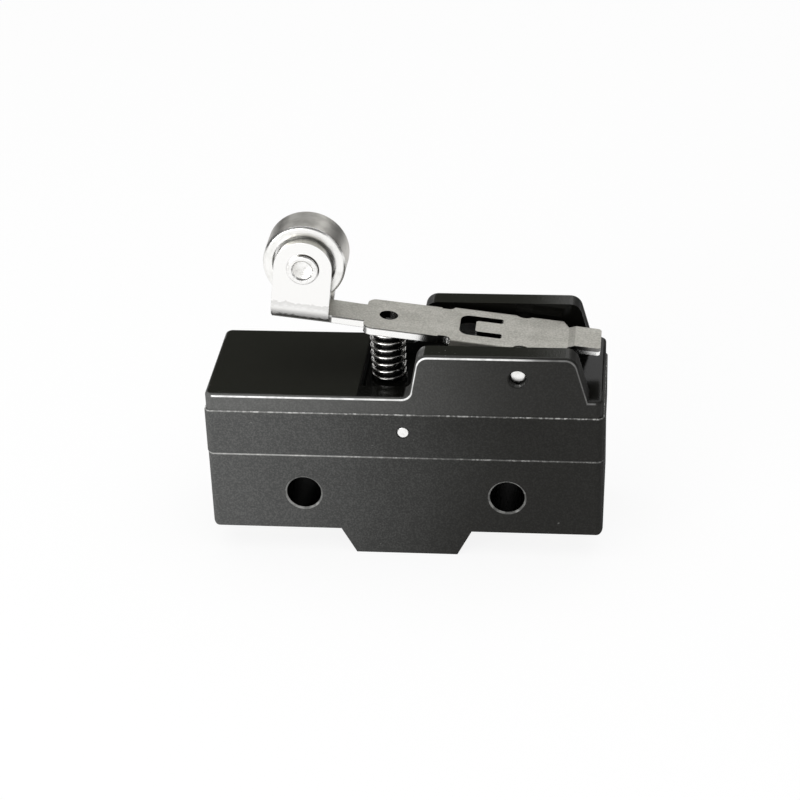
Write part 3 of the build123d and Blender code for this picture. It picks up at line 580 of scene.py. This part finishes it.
def wind(name, point_at, turns, wire):
    """A round wire wound along the points that a function gives for each turn."""
    tube = bmesh.new()
    angles = [2 * pi * side / wire_sides for side in range(wire_sides)]
    steps = int(turns * steps_per_turn)
    hoops = []
    for i in range(steps + 1):
        turn = turns * i / steps
        centre = point_at(turn)
        ahead = (point_at(turn + short_turn) - point_at(turn - short_turn)).normalized()
        outward = Vector((centre.x - coil_x, centre.y, 0)).normalized()
        across = ahead.cross(outward).normalized()
        spokes = [(outward * cos(angle) + across * sin(angle)) * wire / 2 for angle in angles]
        hoops.append([tube.verts.new(centre + spoke) for spoke in spokes])
    for first, second in zip(hoops, hoops[1:]):
        for j in range(wire_sides):
            k = (j + 1) % wire_sides
            side = tube.faces.new((first[j], first[k], second[k], second[j]))
            side.smooth = True
    tube.faces.new(hoops[0][::-1])
    tube.faces.new(hoops[-1])
    bmesh.ops.recalc_face_normals(tube, faces=tube.faces)
    mesh = bpy.data.meshes.new(name)
    tube.to_mesh(mesh)
    tube.free()
    mesh.materials.append(spring_finish)
    coil = bpy.data.objects.new(name, mesh)
    bpy.context.scene.collection.objects.link(coil)
    return coil


def outer_point(turn):
    """Centre of the wire at a turn, with the top turns leaning along the lever's underside."""
    x = coil_x + outer_radius * cos(2 * pi * turn)
    low = spring_low.z + outer_wire / 2
    top = spring_high.z - outer_wire / 2 + (spring_high.x - x) * tan(lever_tilt)
    z = low + (top - low) * coil_share(turn, outer_turns)
    return Vector((x, outer_radius * sin(2 * pi * turn), z))


return_coil = wind("return_coil", outer_point, outer_turns, outer_wire)
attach(return_coil, "housing")
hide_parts("return_spring")
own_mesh(return_coil)

# Overtravel spring: a small coil inside the button, between its crown and the actuating pin.
# The same drawn wire. It goes down with the button.

inner_low, inner_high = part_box("overtravel_spring")
inner_wire = 0.28 * mm
inner_turns = 8.0
inner_radius = (inner_high.x - inner_low.x - inner_wire) / 2


def inner_point(turn):
    """Centre of the inner wire at a turn."""
    x = coil_x + inner_radius * cos(2 * pi * turn)
    rise = inner_high.z - inner_low.z - inner_wire
    z = inner_low.z + inner_wire / 2 + rise * coil_share(turn, inner_turns)
    return Vector((x, inner_radius * sin(2 * pi * turn), z))


inner_coil = wind("overtravel_coil", inner_point, inner_turns, inner_wire)
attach(inner_coil, "button")
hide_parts("overtravel_spring")
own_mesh(inner_coil)

# Stand for the photograph: a pale floor and soft lamps from above and from the front left, with
# dark cards that show only in reflections. The card behind keeps the polished deck black, and
# those at the sides and overhead give the bright metal its dark outlines.


def panel(name, centre, size, grey, turn):
    """A flat sheet of the studio, turned about X and then about Z."""
    mesh = bpy.data.meshes.new(name)
    w, d = size[0] / 2, size[1] / 2
    mesh.from_pydata([(-w, -d, 0), (w, -d, 0), (w, d, 0), (-w, d, 0)], [], [(0, 1, 2, 3)])
    mesh.materials.append(finish(name, {"Base Color": (grey, grey, grey, 1), "Roughness": 0.9})[0])
    sheet = bpy.data.objects.new(name, mesh)
    sheet.location = centre
    sheet.rotation_euler = (turn[0], 0, turn[1])
    bpy.context.scene.collection.objects.link(sheet)
    return sheet


def seen_rays(tree):
    """1 for the rays that show the background: seen directly, in reflections and through glass."""
    path = tree.nodes.new("ShaderNodeLightPath")
    seen = Wire(path.outputs["Is Camera Ray"])
    for kind in ("Is Glossy Ray", "Is Transmission Ray"):
        seen = seen.larger(Wire(path.outputs[kind]))
    return seen


paper_white = (1, 1, 1, 1)
floor_grey = 0.97
floor_glow = 0.88
floor_side = 3.0
floor_gap = 0.02 * mm
floor_z = cad_box[0].z - floor_gap
floor = panel("floor", (0, 0, floor_z), (floor_side, floor_side), floor_grey, (0, 0))
tree = floor.data.materials[0].node_tree
matt = Wire(tree.nodes["Principled BSDF"].outputs[0])
seen = seen_rays(tree)
glow = seen.node("ShaderNodeEmission", {}, {"Color": paper_white, "Strength": 1.0})
lit = seen.node("ShaderNodeMixShader", {}, {0: seen * floor_glow, 1: matt, 2: glow})
tree.links.new(lit.socket, tree.nodes["Material Output"].inputs["Surface"])

# Each card has its middle, its size, how grey it is, and its turns about X and about Z
upright = radians(90)
cards = {
    "back_card": ((-0.045, 0.20, 0.130), (0.11, 0.11), 0.002, (radians(70), 0)),
    "left_card": ((-0.26, 0.04, 0.16), (0.34, 0.30), 0.04, (upright, upright)),
    "right_card": ((0.26, 0.04, 0.16), (0.34, 0.30), 0.04, (upright, upright)),
    "far_left_card": ((-0.17, 0.17, 0.06), (0.16, 0.12), 0.04, (upright, radians(40))),
    "far_right_card": ((0.13, 0.18, 0.06), (0.16, 0.12), 0.04, (upright, radians(-35))),
    "top_card": ((0, -0.12, 0.34), (0.60, 0.46), 0.10, (0, 0)),
}
for name, (centre, size, grey, turn) in cards.items():
    card = panel(name, centre, size, grey, turn)
    for sight in ("camera", "diffuse", "shadow", "transmission"):
        setattr(card, f"visible_{sight}", False)

# Each lamp has its place, its size and its power in watts
lamp_aim = Vector((0, 0, 10.0)) * mm
lamps = {
    "top_box": ((0, -0.05, 0.50), (0.80, 0.80), 2.0),
    "front_box": ((-0.22, -0.36, 0.10), (0.34, 0.16), 1.1),
}
for name, (centre, size, power) in lamps.items():
    soft_box = bpy.data.lights.new(name, "AREA")
    soft_box.shape = "RECTANGLE"
    soft_box.size, soft_box.size_y = size
    soft_box.energy = power
    lamp = bpy.data.objects.new(name, soft_box)
    lamp.location = centre
    lamp.rotation_euler = (lamp_aim - Vector(centre)).to_track_quat("-Z", "Y").to_euler()
    lamp.visible_camera = False
    bpy.context.scene.collection.objects.link(lamp)

room_light = 0.45
world = bpy.data.worlds.new("studio")
bpy.context.scene.world = world
world.use_nodes = True
tree = world.node_tree
seen = seen_rays(tree)
room = seen.node("ShaderNodeBackground", {}, {"Color": paper_white, "Strength": room_light})
backdrop = seen.node("ShaderNodeBackground", {}, {"Color": paper_white, "Strength": 1.0})
sky = seen.node("ShaderNodeMixShader", {}, {0: seen, 1: room, 2: backdrop})
tree.links.new(sky.socket, tree.nodes["World Output"].inputs["Surface"])

# Camera: a long lens in front of the switch, above it and a little to its right.
# It is tipped sideways by two degrees, so the switch leans in the frame as in the photograph.

azimuth = radians(6.86)
elevation = radians(29.73)
roll = radians(-2.171)
target = Vector((-0.1825, -8.725, 13.677)) * mm
distance = 276.155 * mm
back = Vector((sin(azimuth) * cos(elevation), -cos(azimuth) * cos(elevation), sin(elevation)))
level = (-back).cross(Vector((0, 0, 1))).normalized()
rise = level.cross(-back)
across = level * cos(roll) + rise * sin(roll)
up = rise * cos(roll) - level * sin(roll)
turned_to = Matrix((across, up, back)).transposed().to_4x4()
camera_data = bpy.data.cameras.new("camera")
camera_data.lens = 102.39
camera_data.sensor_width = 36.0
camera_data.clip_start = 0.01
camera = bpy.data.objects.new("camera", camera_data)
camera.matrix_world = Matrix.Translation(target + back * distance) @ turned_to
bpy.context.scene.collection.objects.link(camera)
bpy.context.scene.camera = camera
bpy.context.scene.view_settings.view_transform = "Standard"
